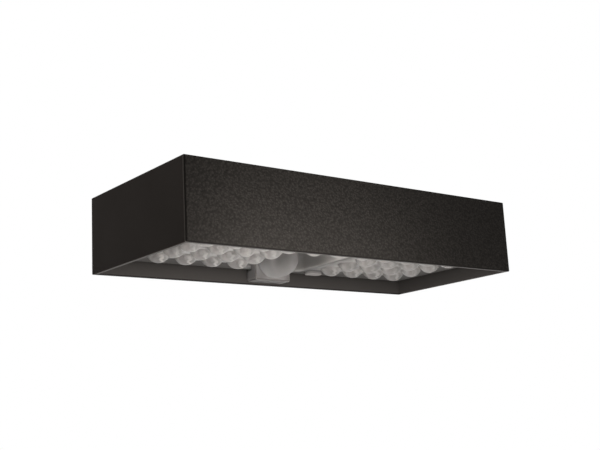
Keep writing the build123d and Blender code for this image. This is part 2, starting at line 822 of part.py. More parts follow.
def make_control_board():
    """Circuit board on four standoffs under the deck, with its parts hanging below it."""
    top = board_low + board_thickness
    board = prism(panel(board_length, board_width, board_corner, x=board_x, y=centre_y), board_low, top)
    for x, y in board_screw_places():
        board -= post(large_hole, x, y, board_low, top)
    fastener = Pos(0, 0, board_low) * screw(large_screw, board_screw_length)
    side_plug = panel(plug_length, plug_width, x=plug_left + plug_length / 2)
    plug_outlines = [Pos(0, y) * side_plug for y in plug_rows().values()]
    plug_outlines.append(panel(plug_width, plug_length, x=switch_lead_x, y=plug_rear - plug_length / 2))
    plugs = [prism(outline, board_low - plug_height, board_low) for outline in plug_outlines]
    control = Pos(control_chip_x, control_chip_y) * panel(control_chip_size, control_chip_size)
    charge = Pos(charge_chip_x, charge_chip_y) * panel(charge_chip_size, charge_chip_size)
    middle = Pos(board_x, centre_y)
    chips = [
        prism(middle * control, board_low - control_chip_height, board_low),
        prism(middle * charge, board_low - charge_chip_height, board_low),
    ]
    coil = post(coil_radius, board_x + coil_x, centre_y + coil_y, board_low - coil_height, board_low)
    coil = chamfer(coil.edges().group_by(Axis.Z)[0], coil_edge)
    can_low = board_low - capacitor_height
    capacitor = post(capacitor_radius, board_x + capacitor_x, centre_y + capacitor_y, can_low, board_low)
    capacitor = chamfer(capacitor.edges().group_by(Axis.Z)[0], capacitor_edge)
    return {
        "control_board": board,
        "control_chips": group(chips),
        "power_coil": coil,
        "reservoir_capacitor": capacitor,
        "wire_sockets": group(plugs),
        "control_board_screws": group(Pos(x, y, 0) * fastener for x, y in board_screw_places()),
    }


def make_leads():
    """Insulated leads between the boards, the panel and the battery."""
    rows = plug_rows()
    ends = {name: [(lead_x, y, wire_height), (plug_left, y, wire_height)] for name, y in rows.items()}
    over = {name: (lead_x, rows[name], lead_over) for name in ("battery", "sensor")}
    holder_right = battery_x + holder_length / 2
    card_top = sensor_axis_height + sensor_plate_size()[1] / 2 - sensor_board_drop
    battery = [(holder_right, rows["battery"], lead_over), over["battery"], *ends["battery"]]
    sensor = [
        (sensor_lead_x, -sensor_lead_out, card_top),
        (sensor_lead_x, -sensor_lead_out, lead_over),
        over["sensor"],
        *ends["sensor"],
    ]
    lights = [(lead_x, rows["led"], led_board_top), *ends["led"]]
    solar = [(lead_x, rows["solar"], backsheet_low), *ends["solar"]]
    switch = [
        (switch_lead_x, button_y, switch_board_top),
        (switch_lead_x, button_y, wire_height),
        (switch_lead_x, plug_rear, wire_height),
    ]
    return {
        "battery_lead": tube(battery, lead_radius, lead_bend),
        "sensor_lead": tube(sensor, sensor_lead_radius, lead_bend),
        "led_lead": tube(lights, lead_radius, corner_bend),
        "solar_lead": tube(solar, lead_radius, corner_bend),
        "switch_lead": tube(switch, lead_radius, corner_bend),
    }


def main():
    """Make every piece, move the origin to the bracket and write one file for each."""
    pieces = {
        "wall_bracket": make_wall_bracket(),
        "housing": make_housing(),
        "light_tray": make_light_tray(),
        "tray_seal": make_tray_seal(),
        "tray_screws": make_tray_screws(),
        "lens_plate": make_lens_plate(),
        "lens_seal": make_lens_seal(),
    }
    pieces.update(make_solar_panel())
    pieces.update(make_light_board())
    pieces.update(make_sensor())
    pieces.update(make_mode_button())
    pieces.update(make_switch())
    pieces.update(make_battery())
    pieces.update(make_control_board())
    pieces.update(make_leads())
    os.makedirs("parts", exist_ok=True)
    for name, piece in pieces.items():
        export_step(Pos(0, 0, -bracket_height) * piece, f"parts/{name}.step")


main()
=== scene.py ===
"""Solar wall light: the finish of every piece, cross-recessed screws and a plain studio.

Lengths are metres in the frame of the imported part: X runs to the right as seen from the front, Y
runs into the wall and Z is up, with the origin in the middle of the wall bracket.
"""

import math
from collections import namedtuple

import bmesh
import bpy
from bpy.props import FloatProperty, FloatVectorProperty, PointerProperty
from mathutils import Matrix, Vector


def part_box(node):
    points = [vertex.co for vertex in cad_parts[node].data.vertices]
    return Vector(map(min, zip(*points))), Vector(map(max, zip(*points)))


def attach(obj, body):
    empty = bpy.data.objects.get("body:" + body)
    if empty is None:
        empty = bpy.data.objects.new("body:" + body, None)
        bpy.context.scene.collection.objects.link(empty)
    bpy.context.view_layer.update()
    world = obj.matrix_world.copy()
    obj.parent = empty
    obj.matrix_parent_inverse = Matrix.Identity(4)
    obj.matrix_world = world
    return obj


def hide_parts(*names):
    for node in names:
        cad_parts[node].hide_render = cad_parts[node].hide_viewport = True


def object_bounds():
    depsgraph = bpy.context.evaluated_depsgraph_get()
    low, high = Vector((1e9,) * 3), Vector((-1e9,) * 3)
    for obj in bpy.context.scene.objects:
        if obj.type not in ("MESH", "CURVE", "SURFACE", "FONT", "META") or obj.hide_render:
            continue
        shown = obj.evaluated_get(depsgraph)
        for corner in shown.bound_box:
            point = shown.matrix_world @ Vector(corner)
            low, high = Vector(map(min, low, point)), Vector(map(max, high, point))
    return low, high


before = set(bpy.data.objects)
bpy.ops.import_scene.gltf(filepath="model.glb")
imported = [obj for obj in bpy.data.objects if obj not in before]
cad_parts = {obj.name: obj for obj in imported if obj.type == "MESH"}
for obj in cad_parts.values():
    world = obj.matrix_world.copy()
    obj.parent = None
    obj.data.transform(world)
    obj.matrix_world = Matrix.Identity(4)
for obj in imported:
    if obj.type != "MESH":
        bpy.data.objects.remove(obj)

bl_info = {
    "name": "Solar Wall Light",
    "version": (1, 0, 0),
    "blender": (4, 5, 0),
    "location": "View3D > Sidebar > Wall Light",
    "description": "Finishes, screws and studio for a solar wall light",
    "category": "Material",
}

cad_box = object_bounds()
MM = 0.001
BLACK = (0.0, 0.0, 0.0)
WHITE = (1.0, 1.0, 1.0)

# Width of the camera's sensor in millimetres, the unit of its lens.
SENSOR_WIDTH = 36.0

# How far red, green and blue light spread in the milky plastics, compared with one another.
MILKY_SPREAD = (1.0, 0.95, 0.9)

# The tones of the milky domes and the sensor cap, their painted light and shade among them, change along
# this direction: to the right and out from the wall.
TONE_AND_LIGHT_X = 0.79
TONE_AND_LIGHT_Y = -0.61


class Value:
    """A socket that Python sums can use. Each sum adds one Math node."""

    def __init__(self, finish, socket):
        self.finish = finish
        self.socket = socket

    def math(self, operation, *values):
        return self.finish.node("ShaderNodeMath", {"operation": operation}, dict(enumerate(values)))

    def __add__(self, other):
        return self.math("ADD", self, other)

    def __radd__(self, other):
        return self.math("ADD", other, self)

    def __sub__(self, other):
        return self.math("SUBTRACT", self, other)

    def __rsub__(self, other):
        return self.math("SUBTRACT", other, self)

    def __mul__(self, other):
        return self.math("MULTIPLY", self, other)

    def __rmul__(self, other):
        return self.math("MULTIPLY", other, self)

    def __truediv__(self, other):
        return self.math("DIVIDE", self, other)

    def __pow__(self, power):
        return self.math("POWER", self, power)

    def __neg__(self):
        return 0 - self

    def __abs__(self):
        return self.math("ABSOLUTE", self)

    def most(self, other):
        return self.math("MAXIMUM", self, other)

    def least(self, other):
        return self.math("MINIMUM", self, other)

    def wave(self):
        return self.math("SINE", self)

    def repeat(self, period):
        """Distance to the middle of the nearest of many strips that are one period apart."""
        return self.math("FLOORED_MODULO", self + period / 2, period) - period / 2

    def step(self, low, high):
        """Smooth rise from 0 to 1 between two limits."""
        limits = {"Value": self, "From Min": low, "From Max": high}
        return self.finish.node("ShaderNodeMapRange", {"interpolation_type": "SMOOTHSTEP"}, limits)

    def fall(self, low, high):
        """Smooth fall from 1 to 0 between two limits."""
        return 1 - self.step(low, high)


class Finish:
    """A material built node by node, on the coordinates of the piece itself."""

    def __init__(self, name, **constants):
        self.material = bpy.data.materials.new(name)
        self.material.use_nodes = True
        self.tree = self.material.node_tree
        self.shader = self.tree.nodes["Principled BSDF"]
        self.place = self.node("ShaderNodeTexCoord", output="Object")
        self.set(**constants)

    def plug(self, socket, value):
        if isinstance(value, Value):
            self.tree.links.new(value.socket, socket)
        elif socket.type == "RGBA":
            socket.default_value = (*value, 1.0)
        else:
            socket.default_value = value

    def node(self, kind, settings=None, inputs=None, output=0):
        """Adds a node: its settings first, then the values or links of its sockets."""
        made = self.tree.nodes.new(kind)
        for name, value in (settings or {}).items():
            setattr(made, name, value)
        for name, value in (inputs or {}).items():
            self.plug(made.inputs[name], value)
        return Value(self, made.outputs[output])

    def set(self, **sockets):
        """Sets sockets of the shader, by their names in SOCKETS."""
        for name, value in sockets.items():
            self.plug(self.shader.inputs[SOCKETS[name]], value)

    def axes(self):
        """The piece's own x, y and z."""
        parts = self.node("ShaderNodeSeparateXYZ", inputs={0: self.place}).socket.node.outputs
        return [Value(self, part) for part in parts]

    def stretched(self, scale):
        """The piece's coordinates, drawn out by a different factor on each axis."""
        return self.node("ShaderNodeMapping", inputs={"Vector": self.place, "Scale": scale})

    def noise(self, size, detail=2.0, roughness=0.5, distortion=0.0, place=None):
        """Cloudy pattern of about the given size."""
        inputs = {
            "Vector": place or self.place,
            "Scale": 1 / size,
            "Detail": detail,
            "Roughness": roughness,
            "Distortion": distortion,
        }
        return self.node("ShaderNodeTexNoise", inputs=inputs)

    def grains(self, size, smoothness=0.6):
        """Rounded grains of about the given size, low in the middle of each."""
        inputs = {"Vector": self.place, "Scale": 1 / size, "Smoothness": smoothness}
        return self.node("ShaderNodeTexVoronoi", {"feature": "SMOOTH_F1"}, inputs)

    def patches(self, size):
        """Flat patches of about the given size, each of its own grey."""
        inputs = {"Vector": self.place, "Scale": 1 / size}
        colours = self.node("ShaderNodeTexVoronoi", inputs=inputs, output="Color")
        return self.node("ShaderNodeRGBToBW", inputs={0: colours})

    def blend(self, factor, first, second):
        """Mixes two colours."""
        return self.node("ShaderNodeMix", {"data_type": "RGBA"}, {0: factor, 6: first, 7: second}, 2)

    def bump(self, height, depth, strength=1.0):
        """Raises the surface by a height from 0 to 1 of the given depth."""
        inputs = {"Strength": strength, "Distance": depth, "Height": height}
        return self.node("ShaderNodeBump", inputs=inputs)


SOCKETS = {
    "colour": "Base Color",
    "roughness": "Roughness",
    "metallic": "Metallic",
    "normal": "Normal",
    "alpha": "Alpha",
    "ior": "IOR",
    "specular": "Specular IOR Level",
    "subsurface": "Subsurface Weight",
    "subsurface_radius": "Subsurface Radius",
    "subsurface_scale": "Subsurface Scale",
    "coat": "Coat Weight",
    "coat_roughness": "Coat Roughness",
    "glow": "Emission Color",
    "glow_strength": "Emission Strength",
}


def shade(colour, factor):
    """A colour made darker or lighter."""
    return [channel * factor for channel in colour]


def colour_property(name, description, default):
    """A colour that a user can change."""
    return FloatVectorProperty(
        name=name, description=description, default=default, subtype="COLOR", size=3, min=0.0, max=1.0
    )


def length_property(name, description, default):
    """A length that a user can change."""
    return FloatProperty(name=name, description=description, default=default, unit="LENGTH", min=0.0)


def angle_property(name, description, degrees):
    """An angle that a user can change."""
    default = math.radians(degrees)
    return FloatProperty(name=name, description=description, default=default, subtype="ANGLE")


def share_property(name, description, default):
    """A share from 0 to 1 that a user can change."""
    return FloatProperty(
        name=name, description=description, default=default, subtype="FACTOR", min=0.0, max=1.0
    )


class BodyLook(bpy.types.PropertyGroup):
    """The moulded box and the tray in it."""

    colour: colour_property("Colour", "Warm black of the moulded body", (0.0455, 0.0415, 0.038))
    # The ends are darker than the front: partly their own tone, partly painted shade.
    end_colour: colour_property("End colour", "Smoother ends of the body", (0.041, 0.034, 0.030))
    inner_colour: colour_property("Inner colour", "Smooth inside of the rim", (0.067, 0.062, 0.059))
    tray_colour: colour_property("Tray colour", "Satin black round the lens", (0.086, 0.083, 0.080))
    grain_size: length_property("Grain size", "Width of one grain of the outside texture", 1.3 * MM)
    grain_depth: length_property("Grain depth", "Depth of the outside texture", 0.45 * MM)
    # The dark lines that this width sets, along the front's edges and the rear lip, are painted shade.
    edge: length_property("Edge", "Width of the polished line along the front's edges", 1.0 * MM)
    skin: length_property("Skin", "How far in from the outside the texture reaches", 1.2 * MM)
    # The dark rear rim is painted shade.
    rear_lip: length_property("Rear lip", "How far out from the wall the rear rim is dark", 4.0 * MM)


class LensLook(bpy.types.PropertyGroup):
    """The milky lens plate, the sensor cap and the button."""

    colour: colour_property("Lens colour", "Milky plastic of the lens plate", (0.192, 0.187, 0.182))
    blush_colour: colour_property("Blush", "Tint over each light chip", (0.20, 0.183, 0.182))
    cap_colour: colour_property("Sensor colour", "Milky plastic of the cap", (0.305, 0.292, 0.286))
    button_colour: colour_property("Button colour", "Grey silicone of the button", (0.26, 0.25, 0.243))
    light_width: length_property("Chip width", "Width of a light chip", 2.8 * MM)
    pitch_x: length_property("Dome pitch across", "Distance between domes along the light", 19 * MM)
    pitch_y: length_property("Dome pitch out", "Distance between rows of domes", 18 * MM)
    dome_radius: length_property("Dome radius", "Radius of a dome where it meets the plate", 7.3 * MM)
    dome_foot: length_property("Dome foot", "Height over which a dome takes on its own tone", 1.5 * MM)
    # Further out than these reaches, painted light evens the domes' tones so the rows run together.
    crisp_reach: length_property("Crisp reach", "How far from the wall the domes stand out", 25 * MM)
    painted_light_reach: length_property("Hazy reach", "From how far out they run together", 60 * MM)
    bay_width: length_property("Bay width", "Width of the sensor's bay in the lens plate", 50 * MM)
    bay_reach: length_property("Bay reach", "How far from the wall the bay reaches", 71 * MM)
    # The bay's dull and pale tones, and the duller plate round it, are painted shade and painted light.
    bay_dark: length_property("Bay dark", "How far from the wall the bay is dullest", 28 * MM)
    bay_pale: length_property("Bay pale", "From how far out it is palest", 50 * MM)
    bay_fade: length_property("Bay fade", "How far round the bay the plate is duller", 13 * MM)
    cap_radius: length_property("Sensor dome radius", "Radius of the cap's dome", 12.2 * MM)
    # The cap's tones that change with height are painted light and shade.
    cap_fade: length_property("Sensor fade", "Height over which the cap's tones change", 10 * MM)
    base_depth: length_property("Sensor base depth", "Depth of the cap's square base", 10 * MM)


class PanelLook(bpy.types.PropertyGroup):
    """The solar panel in the top."""

    cell_colour: colour_property("Cell colour", "Dark silicon of the cells", (0.006, 0.009, 0.024))
    finger_colour: colour_property("Finger colour", "Printed silver lines", (0.032, 0.035, 0.045))
    finger_pitch: length_property("Finger pitch", "Distance between the printed lines", 2.0 * MM)
    finger_width: length_property("Finger width", "Width of a printed line", 0.3 * MM)
    glass_colour: colour_property("Glass colour", "Clean parts of the cover glass", (0.02, 0.023, 0.028))
    dust_colour: colour_property("Dust colour", "Dusty parts of the cover glass", (0.06, 0.065, 0.07))
    backsheet: colour_property("Backsheet", "Sheet behind the cells", (0.018, 0.018, 0.020))


class MetalLook(bpy.types.PropertyGroup):
    """Plated steel and other bare metal."""

    zinc: colour_property("Zinc", "Plating on the bracket and the screws", (0.52, 0.53, 0.54))
    tin: colour_property("Tin", "Tinned ribbons and contacts", (0.66, 0.66, 0.64))
    steel: colour_property("Steel", "Bare ends of the battery cell", (0.55, 0.55, 0.54))
    aluminium: colour_property("Aluminium", "Bare ends of the capacitor", (0.6, 0.6, 0.6))
    nickel: colour_property("Nickel", "Foot of the switch", (0.55, 0.55, 0.53))
    drawn_can: colour_property("Drawn can", "Can of the motion detector", (0.60, 0.58, 0.54))
    copper: colour_property("Copper", "Winding of the coil", (0.45, 0.19, 0.08))
    recess_share: share_property("Recess", "Width of a screw's cross, as a share of its head", 0.62)


class InsideLook(bpy.types.PropertyGroup):
    """The boards and the other pieces inside the body."""

    white_mask: colour_property("White board", "Lacquer of the light board", (0.78, 0.78, 0.76))
    white_track: colour_property("White tracks", "Tracks under white lacquer", (0.66, 0.66, 0.63))
    green_mask: colour_property("Green board", "Lacquer of the other boards", (0.012, 0.085, 0.028))
    green_track: colour_property("Green tracks", "Tracks under green lacquer", (0.03, 0.16, 0.06))
    phosphor: colour_property("Phosphor", "Yellow of the light chips", (0.80, 0.66, 0.22))
    pale_phosphor: colour_property("Pale phosphor", "Paler parts of the chips", (0.85, 0.76, 0.38))
    epoxy: colour_property("Epoxy", "Black of the control chips", (0.016, 0.016, 0.017))
    nylon: colour_property("Nylon", "Wire sockets", (0.72, 0.71, 0.67))
    sleeve: colour_property("Sleeve", "Sleeve of the capacitor", (0.02, 0.03, 0.05))
    window: colour_property("Window", "Window of the motion detector", (0.02, 0.018, 0.03))
    wrap: colour_property("Wrap", "Blue wrap of the battery cell", (0.02, 0.10, 0.26))
    pale_wrap: colour_property("Pale wrap", "Paler parts of the wrap", (0.03, 0.15, 0.36))
    black: colour_property("Black plastic", "Battery holder and small mouldings", (0.02, 0.02, 0.02))
    rubber: colour_property("Rubber", "Seals and gasket", (0.022, 0.022, 0.022))
    red_lead: colour_property("Red leads", "Leads of the battery and panel", (0.33, 0.018, 0.016))
    white_lead: colour_property("White leads", "Leads of the boards", (0.58, 0.57, 0.54))


class StudioLook(bpy.types.PropertyGroup):
    """Camera, lamps and floor."""

    camera_place: FloatVectorProperty(
        name="Camera place",
        description="Where the camera stands",
        default=(-0.391, -0.543, -0.1325),
        subtype="TRANSLATION",
        unit="LENGTH",
        size=3,
    )
    heading: angle_property("Heading", "Turn of the camera to the right", 38.1)
    tilt: angle_property("Tilt", "How far the camera looks up", 12.2)
    roll: angle_property("Roll", "Turn of the camera about its line of sight", -2.95)
    lens: FloatProperty(
        name="Lens",
        description="Focal length on a 36 mm wide sensor",
        default=60.3,
        subtype="DISTANCE_CAMERA",
    )
    floor_drop: length_property("Floor drop", "How far the floor lies below the light", 0.85)
    floor_reach: length_property("Floor reach", "How far the floor goes to each side", 6.0)
    floor_colour: colour_property("Floor colour", "Pale plain floor", (0.8, 0.8, 0.8))
    floor_glow: share_property("Floor glow", "How strongly the floor glows where it is seen", 0.8)
    lamp_colour: colour_property("Lamp colour", "Slightly warm white", (1.0, 0.97, 0.94))
    ambient_colour: colour_property("Ambient colour", "Even light all round", (1.0, 0.985, 0.965))
    ambient: FloatProperty(name="Ambient", description="Strength of the even light", default=0.01)
    brightness: FloatProperty(name="Brightness", description="Factor on every lamp", default=1.0)


class WallLight(bpy.types.PropertyGroup):
    """Everything about the light that a user can change."""

    body: PointerProperty(type=BodyLook)
    lens: PointerProperty(type=LensLook)
    panel: PointerProperty(type=PanelLook)
    metal: PointerProperty(type=MetalLook)
    inside: PointerProperty(type=InsideLook)
    studio: PointerProperty(type=StudioLook)


def look_of(context):
    """The user's settings."""
    return context.scene.wall_light


def dress(finish, *nodes):
    """Gives a finish to CAD pieces."""
    for name in nodes:
        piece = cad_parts[name]
        piece.data.materials.clear()
        piece.data.materials.append(finish.material)


def body_edges(look, x, y, z, side, front):
    """Where the front's edges are smooth and darkened by painted shade, and where a painted highlight
    lies beside its upright edges.
    """
    low, high = cad_box
    behind_front = y - low.y
    in_from_side = high.x - abs(x)
    on_front = behind_front.fall(look.edge * 0.3, look.edge * 0.5)
    # Painted shade along the bottom and upright edges of the front.
    bottom = front * z.fall(low.z + look.edge / 2, low.z + look.edge)
    upright = on_front * in_from_side.fall(look.edge * 0.6, look.edge)
    # Painted highlight on the side, just behind the front's upright edges.
    glint = (1 - on_front) * side * behind_front.fall(look.edge, look.edge * 1.4)
    return bottom.most(upright), glint


def body_inside(finish, look, y, z):
    """Tone inside the rim, in painted light and shade: paler at its mouth, darker towards the tray, with
    a dark line along the rear lip.
    """
    rim = cad_box[0].z
    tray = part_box("light_tray")[0].z
    inward = ((z - rim) / (tray - rim)).least(1.0)
    rim_line = z.fall(rim + look.edge / 4, rim + look.edge)
    at_rear = y.step(-look.rear_lip - look.edge, -look.rear_lip)
    # Painted light at the mouth of the rim, painted shade towards the tray.
    tone = finish.blend(inward, shade(look.inner_colour, 1.26), shade(look.inner_colour, 0.8))
    tone = finish.blend(inward ** 6 * 0.3, tone, BLACK)
    # Painted shade: a dark line along the rear lip.
    return finish.blend(rim_line * at_rear, tone, shade(look.inner_colour, 0.3))


def grained_plastic(look):
    """Body plastic: grained outside with smoother, darker ends, satin inside with painted light and
    shade, smooth front edges with painted shade and a painted highlight beside them.
    """
    low, high = cad_box
    finish = Finish("body_plastic", specular=0.04, coat_roughness=0.35)
    x, y, z = finish.axes()
    side = abs(x).step(high.x - look.skin, high.x - look.skin / 2)
    front = (-y).step(-low.y - look.skin, -low.y - look.skin / 2)
    rear = y.step(-look.skin, -look.skin / 2)
    outside = side.most(front).most(rear)
    smooth = side * 0.95
    # Painted shade on the front's edges, where the grain is also smoothed away, and a painted highlight
    # beside the upright ones.
    smooth_shaded_edge, glint = body_edges(look, x, y, z, side, front)
    wobble = finish.noise(look.grain_size / 2, detail=3.0)
    grain = finish.grains(look.grain_size) * 0.7 + wobble * 0.6
    cloud = finish.noise(30 * MM, detail=3.0)
    fine = finish.noise(0.3 * MM)
    skin = finish.blend(grain.step(0.2, 0.9), shade(look.colour, 1.3), shade(look.colour, 0.6))
    # The ends' darker colour is partly their own tone and partly painted shade.
    skin = finish.blend(smooth, skin, look.end_colour)
    # Painted shade along the front's edges, then a painted highlight beside them.
    skin = finish.blend(smooth_shaded_edge, skin, shade(look.colour, 0.3))
    skin = finish.blend(glint, skin, shade(look.colour, 3.2))
    tone = finish.blend(outside, body_inside(finish, look, y, z), skin)
    tone = finish.blend(cloud * 0.25, tone, shade(look.colour, 0.8))
    roughness = 0.52 + cloud * 0.12 + outside * 0.06
    height = grain * outside * (1 - smooth_shaded_edge) * (1 - smooth) + fine * 0.06
    finish.set(colour=tone, roughness=roughness, coat=0.25 - outside * 0.25)
    finish.set(normal=finish.bump(height, look.grain_depth))
    return finish


DomeMarks = namedtuple("DomeMarks", "foot curl blush streak")


def dome_marks(look, x, y, cloud, painted_front_light):
    """Where each dome of the lens gets painted light on its foot and left side, dull curls, a blush, and
    a bright streak that is a painted highlight.
    """
    first_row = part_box("leds")[1].y - look.light_width / 2
    across = x.repeat(look.pitch_x) / look.dome_radius
    inward = (y - first_row).repeat(look.pitch_y) / look.dome_radius
    sideways = across * TONE_AND_LIGHT_X + inward * TONE_AND_LIGHT_Y
    radius = (across * across + inward * inward) ** 0.5
    ripple = (radius * 14).wave() * 0.08
    stray = cloud - 0.5
    # Painted light round the foot of each dome and on its left side, weaker further out.
    rim = radius.step(0.6, 1.05) * (1 - painted_front_light * 0.8)
    left = (-sideways).step(painted_front_light * -0.4 - 0.2, 1.0 - painted_front_light * 0.6)
    return DomeMarks(
        foot=rim.most(left),
        curl=(sideways * 9 + radius * 5 + cloud * 9).wave() * 0.5 + 0.5,
        blush=abs(sideways + 0.2 + stray * 0.6).fall(0.05, 0.4),
        # A painted highlight along each dome.
        streak=abs(sideways - 0.3 + ripple + stray * 0.5).fall(0.04, 0.2),
    )


def bay_tone(finish, look, tone, plate):
    """Tone of the plate with the sensor's bay in it: painted shade round the bay and along its lip, and
    inside the bay painted shade near the wall turning to painted light further out.
    """
    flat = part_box("light_tray")[0].z
    x, y, z = finish.axes()
    beside = (abs(x) - look.bay_width / 2).most(-look.bay_reach - y)
    lip = beside.fall(0.5 * MM, 1.5 * MM) * z.fall(flat + 0.3 * MM, flat + 1.5 * MM)
    forward = (-y).step(look.bay_dark, look.bay_pale)
    bay = finish.blend(forward, shade(look.colour, 1.4), shade(look.colour, 2.9))
    # Painted shade on the plate round the bay.
    tone = finish.blend(beside.fall(0, look.bay_fade) * plate, tone, shade(look.colour, 0.8))
    # Inside the bay: painted shade near the wall, painted light further out.
    tone = finish.blend(beside.fall(0, 0.5 * MM) * plate, tone, bay)
    # Painted shade along the bay's lip.
    return finish.blend(lip * plate * 0.5, tone, shade(look.colour, 0.75))


def milky_lens(look):
    """Lens plate: milky domes with painted highlight streaks near the wall, and painted light that runs
    them together in front.
    """
    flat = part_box("light_tray")[0].z
    finish = Finish("milky_lens", ior=1.49, coat_roughness=0.3)
    finish.set(subsurface=1.0, subsurface_scale=10 * MM, subsurface_radius=MILKY_SPREAD)
    x, y, z = finish.axes()
    dome = z.fall(flat - look.dome_foot, flat + 0.1 * MM)
    # Painted light that grows out from the wall: paler domes with weaker marks.
    painted_front_light = (-y).step(look.crisp_reach, look.painted_light_reach)
    cloud = finish.noise(5 * MM, detail=3.0, distortion=1.5)
    marks = dome_marks(look, x, y, cloud, painted_front_light)
    pale = shade(look.colour, 2.3)
    dull = shade(look.colour, 0.9)
    # Painted light: the flat plate between the domes is paler than the domes, and the domes are paler
    # further out.
    crown = finish.blend(painted_front_light, look.colour, shade(look.colour, 1.25))
    tone = finish.blend(dome, shade(look.colour, 2.0), crown)
    # Painted light on each dome's foot and left side.
    tone = finish.blend(marks.foot * dome, tone, pale)
    tone = finish.blend(marks.curl * dome * 0.4, tone, dull)
    tone = finish.blend(marks.blush * dome * 0.5, tone, look.blush_colour)
    # Painted highlight: a bright streak across each dome.
    tone = finish.blend(marks.streak * dome * (0.8 - painted_front_light * 0.5), tone, pale)
    # Painted shade: the domes on the right half are a little duller.
    tone = finish.blend(dome * x.step(0, look.bay_width / 2) * 0.3, tone, dull)
    tone = bay_tone(finish, look, tone, 1 - dome)
    relief = (marks.curl * 0.6 + marks.streak) * dome
    finish.set(colour=tone, roughness=0.4 + cloud * 0.2, coat=0.2 * dome)
    finish.set(normal=finish.bump(relief, 0.5 * MM, 0.4))
    return finish


def sensor_dome(finish, look, raised, cloud, facets):
    """Tone of the sensor's dome: painted light along its left, painted shade across its middle and over
    its upper right.
    """
    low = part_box("sensor_cap")[0]
    colour = look.cap_colour
    x, y = finish.axes()[:2]
    turn = x * TONE_AND_LIGHT_X + (y - low.y - look.cap_radius) * TONE_AND_LIGHT_Y
    limb = turn.fall(-12 * MM, -5 * MM)
    middle = abs(turn - 2 * MM).fall(2 * MM, 8 * MM)
    right = x.step(-10 * MM, 4 * MM)
    tone = finish.blend(facets * 0.5 + cloud * 0.4, shade(colour, 1.08), shade(colour, 0.9))
    # Painted shade over the upper right of the dome.
    tone = finish.blend(raised * right * 0.8, tone, shade(colour, 0.75))
    # Painted light along the dome's left.
    tone = finish.blend(limb, tone, shade(colour, 1.45))
    # Painted shade across the dome's middle.
    return finish.blend(middle * (raised * 0.6 + 0.3), tone, shade(colour, 0.55))


def sensor_base(finish, look, raised):
    """Tone of the sensor's square base, in painted light and shade: darker to the left, below and at its
    lower right, paler on its flanks, with painted dark lines along the edges of its front.
    """
    low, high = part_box("sensor_cap")
    colour = look.cap_colour
    x, y, z = finish.axes()
    flank = abs(x).step(high.x - 0.6 * MM, high.x - 0.2 * MM)
    underside = z.fall(low.z + 0.8 * MM, low.z + 1.4 * MM)
    dim = x.step(8 * MM, 13 * MM) * (1 - raised)
    front = high.y - look.base_depth
    brink = y.fall(front + 0.5 * MM, front + 1.1 * MM)
    side_edge = brink * abs(x).step(high.x - 1.0 * MM, high.x - 0.5 * MM)
    lower_edge = brink * z.fall(low.z + 0.4 * MM, low.z + 0.9 * MM)
    # All of these tones are painted light and shade.
    tone = finish.blend(x.step(-11 * MM, -3 * MM), shade(colour, 0.75), shade(colour, 1.25))
    tone = finish.blend(raised, tone, shade(colour, 1.05))
    tone = finish.blend(flank, tone, shade(colour, 1.15))
    tone = finish.blend(underside, tone, shade(colour, 0.4))
    tone = finish.blend(dim * 0.8, tone, shade(colour, 0.5))
    tone = finish.blend(side_edge, tone, shade(colour, 0.62))
    return finish.blend(lower_edge, tone, shade(colour, 0.45))


def milky_cap(look):
    """Sensor cap: waxy plastic with faint facets from the small lenses in it, on a square base."""
    low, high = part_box("sensor_cap")
    finish = Finish("milky_cap", ior=1.46, specular=0.25)
    finish.set(subsurface=1.0, subsurface_scale=8 * MM, subsurface_radius=MILKY_SPREAD)
    y, z = finish.axes()[1:]
    raised = z.step(low.z, low.z + look.cap_fade)
    base = y.step(high.y - look.base_depth - 1 * MM, high.y - look.base_depth)
    cloud = finish.noise(9 * MM, detail=2.0, distortion=0.8)
    facets = finish.grains(4.5 * MM, 0.2)
    dome_tone = sensor_dome(finish, look, raised, cloud, facets)
    tone = finish.blend(base, dome_tone, sensor_base(finish, look, raised))
    finish.set(colour=tone, roughness=0.38 + cloud * 0.15)
    finish.set(normal=finish.bump(facets, 0.3 * MM, 0.25))
    return finish


def silicone(name, colour):
    """Soft rubber with a powdery surface."""
    finish = Finish(name, specular=0.25)
    cloud = finish.noise(3 * MM, detail=3.0)
    fine = finish.noise(0.25 * MM)
    tone = finish.blend(cloud, shade(colour, 0.9), shade(colour, 1.08))
    finish.set(colour=tone, roughness=0.6 + cloud * 0.2)
    finish.set(normal=finish.bump(fine, 0.04 * MM))
    return finish


def plated_steel(name, colour, streak):
    """Zinc plating: crystal patches, with fine streaks along the strip."""
    finish = Finish(name, metallic=1.0)
    spangle = finish.patches(3 * MM)
    lines = finish.noise(0.4 * MM, detail=3.0, place=finish.stretched(streak))
    cloud = finish.noise(12 * MM, detail=3.0)
    tone = finish.blend(spangle * 0.5 + cloud * 0.4, shade(colour, 0.8), shade(colour, 1.15))
    finish.set(colour=tone, roughness=0.3 + spangle * 0.12 + lines * 0.15)
    finish.set(normal=finish.bump(lines, 0.02 * MM))
    return finish


def clear_glass(look):
    """Cover glass, with a slow ripple and a trace of dust."""
    finish = Finish("cover_glass", ior=1.5)
    dust = finish.noise(14 * MM, detail=6.0, roughness=0.7)
    ripple = finish.noise(25 * MM, detail=0.0)
    tone = finish.blend(dust, look.glass_colour, look.dust_colour)
    finish.set(colour=tone, roughness=0.03 + dust * 0.06, alpha=0.04 + dust * 0.06)
    finish.set(normal=finish.bump(ripple, 0.05 * MM))
    return finish


